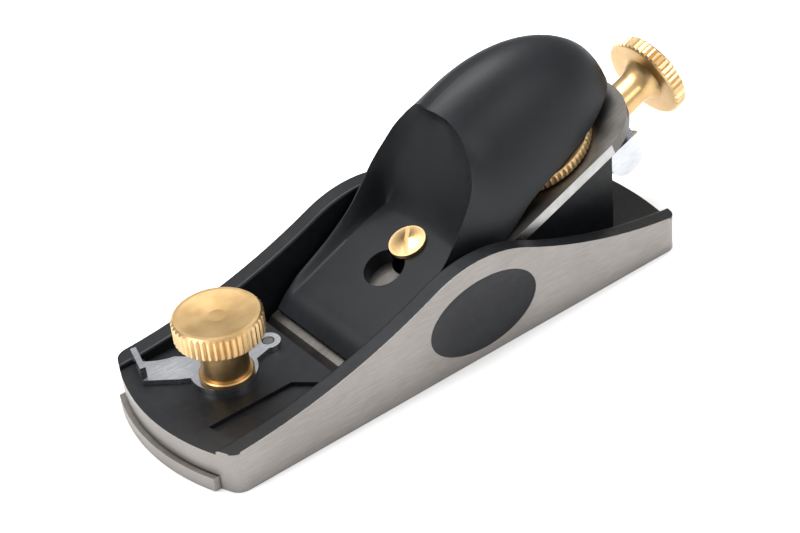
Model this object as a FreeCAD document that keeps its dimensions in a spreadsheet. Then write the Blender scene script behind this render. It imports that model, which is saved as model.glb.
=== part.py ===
import FreeCAD, Part

# Low-angle block plane: a cast body with a moving toe plate, a bedded blade with depth and
# lateral adjustment, and a domed lever cap that a brass wheel tightens against the blade.
# Millimetres. +X runs from toe to heel, +Z up, and the origin is the middle of the sole.

import math
import os

import Sketcher

doc = FreeCAD.newDocument("block_plane")
sheet = doc.addObject("Spreadsheet::Sheet", "Sizes")

# ---------------------------------------------------------------- sizes

SIZES = {
    # body casting
    "toe_reach": 80.5,            # sole centre to the middle of the rounded toe
    "toe_radius": 60.0,
    "heel_reach": 77.2,
    "heel_radius": 92.0,
    "body_width": 55.0,
    "cheek_wall": 5.0,
    "crown_height": 30.1,         # highest point of the cheeks
    "crown_place": 3.5,           # its place along X
    "crown_radius": 36.0,
    "flank_radius": 172.0,        # hollow sweeps from the crown to the rail ends
    "toe_rail_height": 12.2,
    "heel_rail_height": 10.5,
    "rail_edge_round": 0.8,
    "corner_round": 4.0,
    "toe_deck_height": 10.8,
    "deck_recess_depth": 1.2,
    "deck_recess_inner": 12.5,
    "deck_recess_ends": 7.0,
    "heel_deck_height": 7.0,
    "pillar_half_width": 15.0,
    "pillar_length": 97.2,        # mouth to the rear face of the pillar
    "web_length": 50.0,           # mouth to where the bed narrows to the pillar
    "pillar_nose_cut": 3.0,
    "grip_length": 35.4,          # oval finger hollow in each cheek
    "grip_height": 21.7,
    "grip_place": 4.0,
    "grip_level": 13.45,
    "grip_depth": 2.0,
    # mouth and bed
    "mouth_inset": 44.5,          # toe apex to the mouth's rear edge
    "throat_gap": 1.0,            # deck edge ahead of the mouth edge
    "bed_angle": 20.5,
    # toe plate and its clamp
    "plate_thickness": 4.0,
    "plate_proud": 1.5,
    "plate_travel": 2.0,
    "plate_rear_gap": 3.0,        # toe plate to the mouth's rear edge
    "slide_gap": 0.3,
    "face_gap": 0.05,
    "run_gap": 0.05,
    "knob_inset": 22.9,           # toe apex to the toe knob's axis
    "post_radius": 2.5,
    "follower_radius": 3.5,
    "guide_length": 8.0,
    "toe_knob_radius": 11.6,
    "toe_knob_height": 19.0,
    "toe_knob_disc": 6.6,
    "toe_neck_radius": 6.2,
    "toe_flange_radius": 7.1,
    "knurl_pitch": 1.65,
    "knurl_depth": 0.55,
    # eccentric lever
    "lever_thickness": 1.5,
    "lever_pivot_rear": 15.3,     # pivot behind the toe knob's axis
    "lever_pivot_side": 4.1,
    "lever_pin_radius": 1.65,
    "lever_tail_radius": 3.3,
    "lever_swing": 18.0,
    "lever_ring_radius": 8.7,
    "cam_gap": 0.15,
    "finger_height": 3.8,
    # blade
    "blade_length": 116.0,
    "blade_half_width": 20.65,
    "blade_thickness": 3.2,
    "blade_corner": 18.0,
    "bevel_angle": 25.0,
    "edge_land": 0.1,
    "slot_start": 36.5,
    "slot_end": 71.5,
    "slot_half_width": 5.6,
    "groove_pitch": 2.4,
    "groove_width": 1.3,
    "groove_depth": 1.1,
    "groove_half_length": 7.5,
    # lever cap
    "cap_nose": 9.0,             # blade edge to the cap's nose
    "cap_half_width": 20.2,
    "cap_table": 8.2,             # bed to the flat of the cap
    "cap_rear": 66.5,             # rear of the part that lies on the blade
    "rib_front": 8.4,
    "rib_rear": 25.5,
    "rib_sweep": 75.0,
    "rib_round": 1.2,
    "table_half_width": 17.4,
    "table_fall": 1.6,            # the table's drop from its level part to the nose
    "table_level": 38.0,
    "flank_taper": 46.0,          # where the cap starts to narrow toward the hood
    "flank_rear_half_width": 17.6,
    "table_rear": 50.0,
    "arch_place": 67.6,
    "arch_height": 36.0,
    "arch_sweep": 68.0,
    "hood_centre": 74.8,
    "hood_edge": 7.2,             # lower rim of the hood above the bed
    "hood_length": 42.0,
    "hood_half_width": 17.9,
    "hood_height": 33.3,
    "hood_front_length": 50.0,
    "hood_drop": 0.7,             # the dome's widest level below its rim
    "hood_wall": 3.4,
    "cavity_front": 75.5,
    "cavity_half_width": 13.3,
    "cavity_height": 26.0,
    "scoop_place": 47.0,
    "scoop_length": 25.0,
    "scoop_half_width": 14.5,
    "scoop_height": 18.0,
    "key_hole_radius": 5.9,
    "key_travel": 9.2,
    # lever cap screw
    "cap_screw_place": 43.4,
    "cap_screw_radius": 3.0,
    "cap_screw_head": 5.2,
    "cap_screw_head_height": 2.1,
    "cap_screw_depth": 9.0,
    "screw_slot_width": 1.3,
    # clamping wheel
    "wheel_place": 87.0,
    "wheel_radius": 18.3,
    "wheel_hub_radius": 7.0,
    "wheel_hub_top": 11.5,
    "stud_radius": 3.0,
    "stud_boss_radius": 5.6,
    "stud_hold": 15.0,
    # depth and lateral adjusters
    "screw_drop": 8.7,            # bed to the depth screw's axis
    "rod_radius": 3.0,
    "rod_front": 75.0,
    "knob_front": 128.5,
    "depth_knob_radius": 12.6,
    "depth_knob_width": 4.5,
    "depth_neck_radius": 4.85,
    "neck_front": 117.0,
    "lateral_drop": 14.8,         # bed to the top of the lateral lever
    "lateral_thickness": 1.5,
    "lateral_half_width": 5.0,
    "lateral_pivot_place": 58.0,
    "lateral_pivot_radius": 2.0,
    "ear_front": 113.5,
    "ear_thickness": 2.0,
    "ear_half_width": 5.8,
    "bush_radius": 4.0,
    "washer_thickness": 0.6,
    "tab_side": 7.5,
    "tab_place": 110.7,
    "tab_drop": 18.5,
    "tab_radius": 6.8,
    "trough_half_width": 8.5,
    "slider_place": 88.0,
    "slider_length": 8.0,
    "slider_half_width": 4.5,
    "tongue_thickness": 1.1,
}


class Size:
    """A number together with the sheet expression that gives it."""

    def __init__(self, text, value):
        self.text = text
        self.value = float(value)

    def __add__(self, other):
        other = as_size(other)
        return Size("(%s + %s)" % (self.text, other.text), self.value + other.value)

    def __sub__(self, other):
        other = as_size(other)
        return Size("(%s - %s)" % (self.text, other.text), self.value - other.value)

    def __mul__(self, other):
        other = as_size(other)
        return Size("(%s * %s)" % (self.text, other.text), self.value * other.value)

    def __truediv__(self, other):
        other = as_size(other)
        return Size("(%s / %s)" % (self.text, other.text), self.value / other.value)

    def __radd__(self, other):
        return as_size(other) + self

    def __rsub__(self, other):
        return as_size(other) - self

    def __rmul__(self, other):
        return as_size(other) * self

    def __neg__(self):
        return Size("(0 - %s)" % self.text, -self.value)


def as_size(number):
    return number if isinstance(number, Size) else Size("%.6f" % number, number)


def root(size):
    return Size("sqrt(%s)" % size.text, math.sqrt(size.value))


def sine(angle):
    return Size("sin(%s * 1deg)" % angle.text, math.sin(math.radians(angle.value)))


def cosine(angle):
    return Size("cos(%s * 1deg)" % angle.text, math.cos(math.radians(angle.value)))


def tangent(angle):
    return Size("tan(%s * 1deg)" % angle.text, math.tan(math.radians(angle.value)))


class Sheet:
    """The sheet's cells, each read by its alias as a Size."""

    def __getattr__(self, alias):
        return Size("Sizes." + alias, SIZES[alias])


for row, (alias, value) in enumerate(SIZES.items(), start=1):
    sheet.set("A%d" % row, alias.replace("_", " "))
    sheet.set("B%d" % row, str(value))
    sheet.setAlias("B%d" % row, alias)
doc.recompute()
z = Sheet()

# ---------------------------------------------------------------- places worked out from them

half_width = z.body_width / 2
channel_half = half_width - z.cheek_wall
mouth = z.mouth_inset - z.toe_reach
deck_edge = mouth - z.throat_gap
knob_place = z.knob_inset - z.toe_reach
toe_arc_centre = z.toe_radius - z.toe_reach
heel_arc_centre = z.heel_reach - z.heel_radius
bed_cos = cosine(z.bed_angle)
bed_sin = sine(z.bed_angle)
lever_base = z.toe_deck_height + z.face_gap
lever_top = lever_base + z.lever_thickness
knob_base = lever_top + z.face_gap
cap_underside = z.blade_thickness + z.face_gap
trough_depth = z.lateral_drop + z.lateral_thickness + z.face_gap * 2
CLEAR = 60.0                      # well outside the piece being cut
PLUNGE = 8.0                      # past the far side of a cut


def bed_x(along, above):
    return mouth + along * bed_cos - above * bed_sin


def bed_z(along, above):
    return along * bed_sin + above * bed_cos


# ---------------------------------------------------------------- helpers

pieces = []


def bind(item, name, size):
    """Tie a property to the sheet."""
    item.setExpression(name, as_size(size).text)


def piece(name, x=0.0, y=0.0, level=0.0, on_bed=False):
    """A new body; on_bed lays its own X along the bed and its Z square to the bed."""
    body = doc.addObject("PartDesign::Body", name)
    body.Label = name
    turn = FreeCAD.Rotation(FreeCAD.Vector(0, -1, 0), z.bed_angle.value if on_bed else 0.0)
    body.Placement = FreeCAD.Placement(FreeCAD.Vector(0, 0, 0), turn)
    if on_bed:
        bind(body, "Placement.Base.x", bed_x(as_size(x), as_size(level)))
        bind(body, "Placement.Base.z", bed_z(as_size(x), as_size(level)))
        bind(body, "Placement.Rotation.Angle", z.bed_angle)
    else:
        bind(body, "Placement.Base.x", x)
        bind(body, "Placement.Base.z", level)
    bind(body, "Placement.Base.y", y)
    pieces.append(body)
    return body


def settle(feature):
    """Recompute, and stop if the feature failed."""
    doc.recompute()
    bad = "Invalid" in feature.State or "Error" in feature.State
    if bad or feature.Shape.isNull() or not feature.Shape.isValid():
        raise RuntimeError("%s failed" % feature.Name)
    return feature


def new_sketch(body, name, plane, offset=None, tilted=False):
    sketch = body.newObject("Sketcher::SketchObject", name)
    for feature in body.Origin.OriginFeatures:
        if feature.Role == plane:
            sketch.AttachmentSupport = (feature, [""])
    sketch.MapMode = "FlatFace"
    if tilted:
        turn = FreeCAD.Rotation(FreeCAD.Vector(0, -1, 0), z.bed_angle.value)
        sketch.AttachmentOffset = FreeCAD.Placement(FreeCAD.Vector(0, 0, 0), turn)
        bind(sketch, "AttachmentOffset.Rotation.Angle", z.bed_angle)
        bind(sketch, "AttachmentOffset.Base.x", bed_x(as_size(0), as_size(offset)))
        bind(sketch, "AttachmentOffset.Base.z", bed_z(as_size(0), as_size(offset)))
    elif offset is not None:
        bind(sketch, "AttachmentOffset.Base.z", offset)
    return sketch


def pin(sketch, edge, end, across, up):
    """Fix one point of an edge at two sheet-driven distances from the sketch's origin."""
    for kind, size in (("DistanceX", across), ("DistanceY", up)):
        size = as_size(size)
        number = sketch.addConstraint(Sketcher.Constraint(kind, -1, 1, edge, end, size.value))
        bind(sketch, "Constraints[%d]" % number, size)


def radius_of(sketch, edge, size):
    size = as_size(size)
    number = sketch.addConstraint(Sketcher.Constraint("Radius", edge, size.value))
    bind(sketch, "Constraints[%d]" % number, size)


def outline(body, name, plane, corners, offset=None, tilted=False):
    """Closed outline. A corner is (across, up), or (across, up, radius) where an arc leaves it
    to the next corner; a positive radius bulges to the left of the way there."""
    sketch = new_sketch(body, name, plane, offset, tilted)
    points = [FreeCAD.Vector(as_size(c[0]).value, as_size(c[1]).value, 0) for c in corners]
    ends = []
    for here, corner in enumerate(corners):
        start = points[here]
        stop = points[(here + 1) % len(points)]
        if len(corner) == 2:
            edge = sketch.addGeometry(Part.LineSegment(start, stop), False)
            ends.append((edge, 1, 2))
            continue
        bend = as_size(corner[2])
        chord = stop - start
        left = FreeCAD.Vector(-chord.y, chord.x, 0).normalize()
        size = abs(bend.value)
        rise = size - math.sqrt(size * size - chord.Length * chord.Length / 4)
        middle = (start + stop) * 0.5 + left * math.copysign(rise, bend.value)
        edge = sketch.addGeometry(Part.Arc(start, middle, stop), False)
        first = (sketch.getPoint(edge, 1) - start).Length < 1e-6
        ends.append((edge, 1, 2) if first else (edge, 2, 1))
        radius_of(sketch, edge, bend if bend.value > 0 else -bend)
    for here, corner in enumerate(corners):
        edge, first, last = ends[here]
        before = ends[here - 1]
        sketch.addConstraint(Sketcher.Constraint("Coincident", before[0], before[2], edge, first))
        pin(sketch, edge, first, corner[0], corner[1])
    return sketch


def ring(body, name, plane, across, up, radius, offset=None, tilted=False):
    """A circle."""
    sketch = new_sketch(body, name, plane, offset, tilted)
    centre = FreeCAD.Vector(as_size(across).value, as_size(up).value, 0)
    circle = Part.Circle(centre, FreeCAD.Vector(0, 0, 1), as_size(radius).value)
    edge = sketch.addGeometry(circle, False)
    pin(sketch, edge, 3, across, up)
    radius_of(sketch, edge, radius)
    return sketch


def rectangle(body, name, plane, low, high, offset=None, tilted=False):
    corners = [low, (high[0], low[1]), high, (low[0], high[1])]
    return outline(body, name, plane, corners, offset, tilted)


def pad(body, sketch, length, both_ways=False, reverse=False):
    feature = body.newObject("PartDesign::Pad", sketch.Name + "_pad")
    feature.Profile = sketch
    bind(feature, "Length", length)
    feature.Midplane = both_ways
    feature.Reversed = reverse
    return settle(feature)


def pocket(body, sketch, length, both_ways=False, reverse=False):
    """Cut a sketch away, and make sure that it did cut."""
    before = body.Shape.Volume
    feature = body.newObject("PartDesign::Pocket", sketch.Name + "_cut")
    feature.Profile = sketch
    bind(feature, "Length", length)
    feature.Midplane = both_ways
    feature.Reversed = reverse
    settle(feature)
    if not body.Shape.Volume < before - 1e-3:
        raise RuntimeError("%s cuts nothing" % sketch.Name)
    return feature


def turned(body, name, corners, along_x=False):
    """A turned solid: corners are (radius, height), or (length, radius) when along_x."""
    sketch = outline(body, name, "XZ_Plane", corners)
    feature = body.newObject("PartDesign::Revolution", name + "_turned")
    feature.Profile = sketch
    feature.ReferenceAxis = (sketch, ["H_Axis" if along_x else "V_Axis"])
    feature.Angle = 360
    return settle(feature)


def ellipsoid(body, kind, name, centre, reach):
    """An ellipsoid added to or taken from a body: reach is its half size along X, Y and Z."""
    before = body.Shape.Volume if body.Tip else 0.0
    feature = body.newObject("PartDesign::%sEllipsoid" % kind, name)
    for axis, size in zip("xyz", centre):
        bind(feature, "Placement.Base." + axis, size)
    bind(feature, "Radius1", reach[2])
    bind(feature, "Radius2", reach[0])
    bind(feature, "Radius3", reach[1])
    settle(feature)
    if abs(body.Shape.Volume - before) < 1e-3:
        raise RuntimeError("%s changes nothing" % name)
    return feature


def knurl(body, name, rim, low, high, along_x=False):
    """Straight teeth round a rim, cut one flute and repeated round the axis."""
    half = z.knurl_pitch * 0.42
    rim = as_size(rim)
    count = rim * (2 * math.pi) / z.knurl_pitch
    plane = "YZ_Plane" if along_x else "XY_Plane"
    corners = [(rim - z.knurl_depth, 0.0), (rim + 0.1, -half), (rim + 0.1, half)]
    flute = outline(body, name, plane, corners, low)
    cut = pocket(body, flute, high - low, reverse=True)
    pattern = body.newObject("PartDesign::PolarPattern", name + "_pattern")
    pattern.Originals = [cut]
    axis = "X_Axis" if along_x else "Z_Axis"
    for feature in body.Origin.OriginFeatures:
        if feature.Role == axis:
            pattern.Axis = (feature, [""])
    pattern.Angle = 360
    pattern.Occurrences = round(count.value)
    bind(pattern, "Occurrences", Size("round(%s)" % count.text, round(count.value)))
    body.Tip = pattern
    return settle(pattern)


def near(value, size, slack=0.02):
    return abs(value - as_size(size).value) < slack


def soften(body, kind, name, size, wanted):
    """Fillet or chamfer the edges of a body's tip that wanted() picks."""
    base = body.Tip
    chosen = ["Edge%d" % (n + 1) for n, edge in enumerate(base.Shape.Edges) if wanted(edge)]
    if not chosen:
        raise RuntimeError("%s finds no edge" % name)
    feature = body.newObject("PartDesign::" + kind, name)
    feature.Base = (base, chosen)
    bind(feature, "Radius" if kind == "Fillet" else "Size", size)
    return settle(feature)


# ---------------------------------------------------------------- body casting

casting = piece("body_casting")

# Side view of the casting: flat sole, low rails, and a crown between two hollow sweeps.
toe_shoulder = toe_arc_centre - root(z.toe_radius * z.toe_radius - half_width * half_width)
heel_shoulder = heel_arc_centre + root(z.heel_radius * z.heel_radius - half_width * half_width)


toe_far = -(z.toe_reach + PLUNGE)
heel_far = z.heel_reach + PLUNGE


def sweep_centre(end_x, end_z):
    """Centre of the hollow sweep that starts at a rail end and is tangent to the crown."""
    crown_x = z.crown_place.value
    crown_z = (z.crown_height - z.crown_radius).value
    near_reach = z.flank_radius.value
    far_reach = near_reach + z.crown_radius.value
    span_x, span_z = crown_x - end_x, crown_z - end_z
    span = math.hypot(span_x, span_z)
    along = (near_reach ** 2 - far_reach ** 2 + span ** 2) / (2 * span)
    aside = math.sqrt(near_reach ** 2 - along ** 2) * math.copysign(1.0, span_x)
    return FreeCAD.Vector(end_x + (span_x * along - span_z * aside) / span,
                          end_z + (span_z * along + span_x * aside) / span, 0)


def side_view():
    """Flat sole, upright ends and, on top, a round crown between two hollow sweeps."""
    sketch = new_sketch(casting, "side_view", "XZ_Plane")
    crown = FreeCAD.Vector(z.crown_place.value, (z.crown_height - z.crown_radius).value, 0)
    reach = z.flank_radius.value

    def arc(start, stop, centre):
        middle = (start + stop) * 0.5 - centre
        middle = centre + middle.normalize() * (start - centre).Length
        return sketch.addGeometry(Part.Arc(start, middle, stop), False)

    def end_at(edge, point):
        return 1 if (sketch.getPoint(edge, 1) - point).Length < 1e-4 else 2

    ends = []
    for shoulder, rail, tip in ((heel_shoulder, z.heel_rail_height, heel_far),
                                (toe_shoulder, z.toe_rail_height, toe_far)):
        centre = sweep_centre(shoulder.value, rail.value)
        drop = math.sqrt(reach ** 2 - (tip.value - centre.x) ** 2)
        top = FreeCAD.Vector(tip.value, centre.y - drop, 0)
        join = crown + (centre - crown).normalize() * z.crown_radius.value
        sweep = arc(top, join, centre)
        radius_of(sketch, sweep, z.flank_radius)
        number = sketch.addConstraint(Sketcher.Constraint(
            "DistanceX", -1, 1, sweep, end_at(sweep, top), tip.value))
        bind(sketch, "Constraints[%d]" % number, tip)
        on_rail = sketch.addGeometry(
            Part.Point(FreeCAD.Vector(shoulder.value, rail.value, 0)), True)
        pin(sketch, on_rail, 1, shoulder, rail)
        sketch.addConstraint(Sketcher.Constraint("PointOnObject", on_rail, 1, sweep))
        foot = FreeCAD.Vector(tip.value, 0, 0)
        upright = sketch.addGeometry(Part.LineSegment(foot, top), False)
        sketch.addConstraint(Sketcher.Constraint("Vertical", upright))
        sketch.addConstraint(Sketcher.Constraint(
            "Coincident", upright, 2, sweep, end_at(sweep, top)))
        ends.append((foot, join, sweep, upright))
    (heel_foot, heel_join, rear, heel), (toe_foot, toe_join, front, toe) = ends
    top = arc(heel_join, toe_join, crown)
    pin(sketch, top, 3, z.crown_place, z.crown_height - z.crown_radius)
    radius_of(sketch, top, z.crown_radius)
    for sweep, join in ((rear, heel_join), (front, toe_join)):
        sketch.addConstraint(Sketcher.Constraint(
            "Tangent", sweep, end_at(sweep, join), top, end_at(top, join)))
    sole = sketch.addGeometry(Part.LineSegment(toe_foot, heel_foot), False)
    sketch.addConstraint(Sketcher.Constraint("Coincident", sole, 1, toe, 1))
    sketch.addConstraint(Sketcher.Constraint("Coincident", sole, 2, heel, 1))
    sketch.addConstraint(Sketcher.Constraint("Horizontal", sole))
    sketch.addConstraint(Sketcher.Constraint("DistanceY", -1, 1, sole, 1, 0.0))
    return sketch


pad(casting, side_view(), z.body_width, both_ways=True)

# The toe and heel are ground to arcs.
past = half_width + PLUNGE / 2
toe_past = toe_arc_centre - root(z.toe_radius * z.toe_radius - past * past)
heel_past = heel_arc_centre + root(z.heel_radius * z.heel_radius - past * past)
toe_arc = outline(casting, "toe_arc", "XY_Plane", [
    (toe_past, past), (toe_far - PLUNGE, past), (toe_far - PLUNGE, -past),
    (toe_past, -past, z.toe_radius),
], offset=as_size(-PLUNGE))
pocket(casting, toe_arc, CLEAR, reverse=True)
heel_arc = outline(casting, "heel_arc", "XY_Plane", [
    (heel_past, -past), (heel_far + PLUNGE, -past), (heel_far + PLUNGE, past),
    (heel_past, past, z.heel_radius),
], offset=as_size(-PLUNGE))
pocket(casting, heel_arc, CLEAR, reverse=True)

# The channel between the cheeks: toe deck, throat, inclined bed, pillar and heel deck.
pillar_rear = mouth + z.pillar_length
pillar_top = z.pillar_length * tangent(z.bed_angle)
channel = outline(casting, "channel", "XZ_Plane", [
    (toe_far, z.toe_deck_height), (deck_edge, z.toe_deck_height), (deck_edge, 0.0), (mouth, 0.0),
    (pillar_rear - z.pillar_nose_cut, pillar_top - z.pillar_nose_cut * tangent(z.bed_angle)),
    (pillar_rear, pillar_top - z.pillar_nose_cut * 1.6), (pillar_rear, z.heel_deck_height),
    (heel_far, z.heel_deck_height), (heel_far, CLEAR), (toe_far, CLEAR),
])
pocket(casting, channel, channel_half * 2, both_ways=True)

# Behind the cap screw the bed narrows to a pillar, with a well on each side of it.
for side, name in ((-1, "near_well"), (1, "far_well")):
    inner, outer = z.pillar_half_width * side, channel_half * side
    well = rectangle(casting, name, "XY_Plane", (mouth + z.web_length, inner),
                     (pillar_rear + PLUNGE, outer), offset=as_size(CLEAR))
    pocket(casting, well, CLEAR - z.heel_deck_height)

# The pillar carries the bed on up behind the crown, higher than the rails beside it.
pillar_front = mouth + z.web_length
pillar = outline(casting, "pillar", "XZ_Plane", [
    (pillar_front, z.heel_deck_height), (pillar_rear, z.heel_deck_height),
    (pillar_rear, pillar_top - z.pillar_nose_cut * 1.6),
    (pillar_rear - z.pillar_nose_cut, pillar_top - z.pillar_nose_cut * tangent(z.bed_angle)),
    (pillar_front, z.web_length * tangent(z.bed_angle)),
])
pad(casting, pillar, z.pillar_half_width * 2, both_ways=True)

# The adjusters lie in a trough along the bed, open at the top and rear.
trough_front = z.lateral_pivot_place - z.lateral_half_width - z.slide_gap * 2
trough_rear = z.pillar_length + PLUNGE * 2
trough = outline(casting, "trough", "XZ_Plane", [
    (bed_x(trough_front, -trough_depth), bed_z(trough_front, -trough_depth)),
    (bed_x(trough_rear, -trough_depth), bed_z(trough_rear, -trough_depth)),
    (bed_x(trough_rear, as_size(PLUNGE)), bed_z(trough_rear, as_size(PLUNGE))),
    (bed_x(trough_front, as_size(PLUNGE)), bed_z(trough_front, as_size(PLUNGE))),
])
pocket(casting, trough, z.trough_half_width * 2, both_ways=True)

# The toe plate slides in a rabbet under the toe deck.
rabbet_top = z.plate_thickness + z.slide_gap
rabbet = rectangle(casting, "plate_rabbet", "XZ_Plane", (toe_far, -PLUNGE), (mouth, rabbet_top))
pocket(casting, rabbet, channel_half * 2, both_ways=True)

# A slot in the toe deck lets the plate's guide and post move fore and aft.
guide_half = z.guide_length / 2
slot_half = z.follower_radius + z.slide_gap
post_slot = rectangle(casting, "post_slot", "XY_Plane",
                      (knob_place - guide_half - z.slide_gap, -slot_half),
                      (knob_place + guide_half + z.plate_travel + z.slide_gap, slot_half),
                      offset=as_size(CLEAR))
pocket(casting, post_slot, CLEAR)

# Shallow recesses on the toe deck leave a raised pad for the eccentric lever.
for side, name in ((-1, "near_recess"), (1, "far_recess")):
    inner = z.deck_recess_inner * side
    outer = channel_half * side
    front = toe_shoulder + z.deck_recess_ends * 0.3
    rear = deck_edge - z.deck_recess_ends * 0.4
    recess = outline(casting, name, "XY_Plane", [
        (front, inner), (rear - z.deck_recess_ends, inner), (rear, inner + side * z.deck_recess_ends),
        (rear, outer), (front + z.deck_recess_ends * 0.4, outer),
    ], offset=as_size(CLEAR))
    pocket(casting, recess, CLEAR - z.toe_deck_height + z.deck_recess_depth)

# Tapped holes for the cap screw, the lateral lever's screw and the eccentric lever's pin.
cap_hole = ring(casting, "cap_screw_hole", "XY_Plane", z.cap_screw_place, 0.0,
                z.cap_screw_radius + z.run_gap, offset=as_size(PLUNGE), tilted=True)
pocket(casting, cap_hole, z.cap_screw_depth + PLUNGE + 1.0)
lateral_hole_depth = 3.4
lateral_hole = ring(casting, "lateral_hole", "XY_Plane", z.lateral_pivot_place, 0.0,
                    z.lateral_pivot_radius, offset=-trough_depth, tilted=True)
pocket(casting, lateral_hole, as_size(lateral_hole_depth))
pin_depth = 4.0
pin_x = knob_place + z.lever_pivot_rear
pin_hole = ring(casting, "pin_hole", "XY_Plane", pin_x, z.lever_pivot_side, z.lever_pin_radius,
                offset=z.toe_deck_height)
pocket(casting, pin_hole, as_size(pin_depth))

# Oval finger hollows, one in each cheek.
grip_bulge = z.grip_depth * 2
grip_share = math.sqrt(0.75)      # the hollow stops half way to the ellipsoid's middle
for side, name in ((-1, "near_grip"), (1, "far_grip")):
    ellipsoid(casting, "Subtractive", name,
              (z.grip_place, (half_width + grip_bulge - z.grip_depth) * side, z.grip_level),
              (z.grip_length / 2 / grip_share, grip_bulge, z.grip_height / 2 / grip_share))


# The cheeks' inner top edges are rounded all along.
def inner_rail_edge(edge):
    box = edge.BoundBox
    lowest = min(z.toe_rail_height.value, z.heel_rail_height.value) - 1.0
    on_wall = near(abs(box.YMin), channel_half) and box.YLength < 0.01
    return on_wall and box.ZMin > lowest and edge.Curve.TypeId == "Part::GeomCircle"


soften(casting, "Fillet", "rail_rounding", z.rail_edge_round, inner_rail_edge)


# The four outer corners are rounded.
def corner_edge(edge):
    ends = [v.Point for v in edge.Vertexes]
    if len(ends) < 2 or not all(near(abs(p.y), half_width) for p in ends):
        return False
    upright = abs(ends[0].x - ends[1].x) < 0.01 and abs(ends[0].z - ends[1].z) > 5
    return upright


soften(casting, "Fillet", "corner_rounding", z.corner_round, corner_edge)

# ---------------------------------------------------------------- toe plate and its clamp

toe_plate = piece("toe_plate")
plate_half = channel_half - z.slide_gap
plate_radius = z.toe_radius + z.plate_proud
plate_shoulder = toe_arc_centre - root(plate_radius * plate_radius - plate_half * plate_half)
plate_rear = mouth - z.plate_rear_gap
plate_view = outline(toe_plate, "plate_outline", "XY_Plane", [
    (plate_shoulder, -plate_half), (plate_rear, -plate_half), (plate_rear, plate_half),
    (plate_shoulder, plate_half, plate_radius * -1),
])
pad(toe_plate, plate_view, z.plate_thickness)
guide_top = z.toe_deck_height - z.slide_gap * 1.5
guide = rectangle(toe_plate, "plate_guide", "XY_Plane",
                  (knob_place - guide_half, -z.follower_radius),
                  (knob_place + guide_half, z.follower_radius))
pad(toe_plate, guide, guide_top)
post_floor = 1.2
post_bore = ring(toe_plate, "post_bore", "XY_Plane", knob_place, 0.0, z.post_radius,
                 offset=as_size(post_floor))
pocket(toe_plate, post_bore, CLEAR, reverse=True)

# Stepped steel post: screwed into the plate, with a shoulder that the lever's cam slot moves.
toe_post = piece("toe_post", x=knob_place)
post_top = knob_base + z.toe_knob_height - 4.0
turned(toe_post, "post_outline", [
    (0.0, post_floor), (z.post_radius, post_floor), (z.post_radius, guide_top),
    (z.follower_radius, guide_top), (z.follower_radius, lever_top - z.face_gap),
    (z.post_radius, lever_top - z.face_gap), (z.post_radius, post_top - 0.6),
    (z.post_radius - 0.6, post_top), (0.0, post_top),
])

# Brass toe knob: flange, groove, waisted neck and knurled disc with a dished top.
toe_knob = piece("toe_knob", x=knob_place, level=knob_base)
disc_base = z.toe_knob_height - z.toe_knob_disc
knob_bore = z.post_radius + z.run_gap
bore_top = post_top - knob_base + 0.6
flange_top = 1.7
turned(toe_knob, "toe_knob_outline", [
    (knob_bore, 0.0), (z.toe_flange_radius - 0.3, 0.0), (z.toe_flange_radius, 0.3),
    (z.toe_flange_radius, flange_top - 0.3), (z.toe_flange_radius - 0.3, flange_top),
    (z.toe_neck_radius, flange_top), (z.toe_neck_radius, disc_base - 3.4, -6.0),
    (z.toe_knob_radius - 2.6, disc_base), (z.toe_knob_radius - 0.7, disc_base),
    (z.toe_knob_radius, disc_base + 0.7), (z.toe_knob_radius, z.toe_knob_height - 0.7),
    (z.toe_knob_radius - 0.7, z.toe_knob_height), (z.toe_knob_radius - 1.6, z.toe_knob_height),
    (2.4, z.toe_knob_height - 0.7), (0.0, z.toe_knob_height - 0.7), (0.0, bore_top), (knob_bore, bore_top),
])
knurl(toe_knob, "toe_knob_knurl", z.toe_knob_radius, disc_base - 0.1, z.toe_knob_height + 0.1)

# ---------------------------------------------------------------- eccentric lever

lever_pin = piece("eccentric_pivot_pin", x=pin_x, y=z.lever_pivot_side)
pin_top = lever_top - z.face_gap
turned(lever_pin, "pin_outline", [
    (0.0, z.toe_deck_height - pin_depth), (z.lever_pin_radius, z.toe_deck_height - pin_depth),
    (z.lever_pin_radius, pin_top - 0.3), (z.lever_pin_radius - 0.3, pin_top), (0.0, pin_top),
])

# Stamped steel lever, drawn from its pivot: tail round the pin, ring with the cam slot, arm
# and an upturned finger tab. The slot follows the post, so that a swing moves the toe plate.
lever = piece("eccentric_lever", x=pin_x, y=z.lever_pivot_side, level=lever_base)


def cam_point(share):
    """Where the post stands in the lever's own frame after a share of the swing."""
    swing = z.lever_swing * share
    ahead = z.plate_travel * share - z.lever_pivot_rear
    aside = -z.lever_pivot_side
    return (ahead * cosine(swing) + aside * sine(swing),
            aside * cosine(swing) - ahead * sine(swing))


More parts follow.
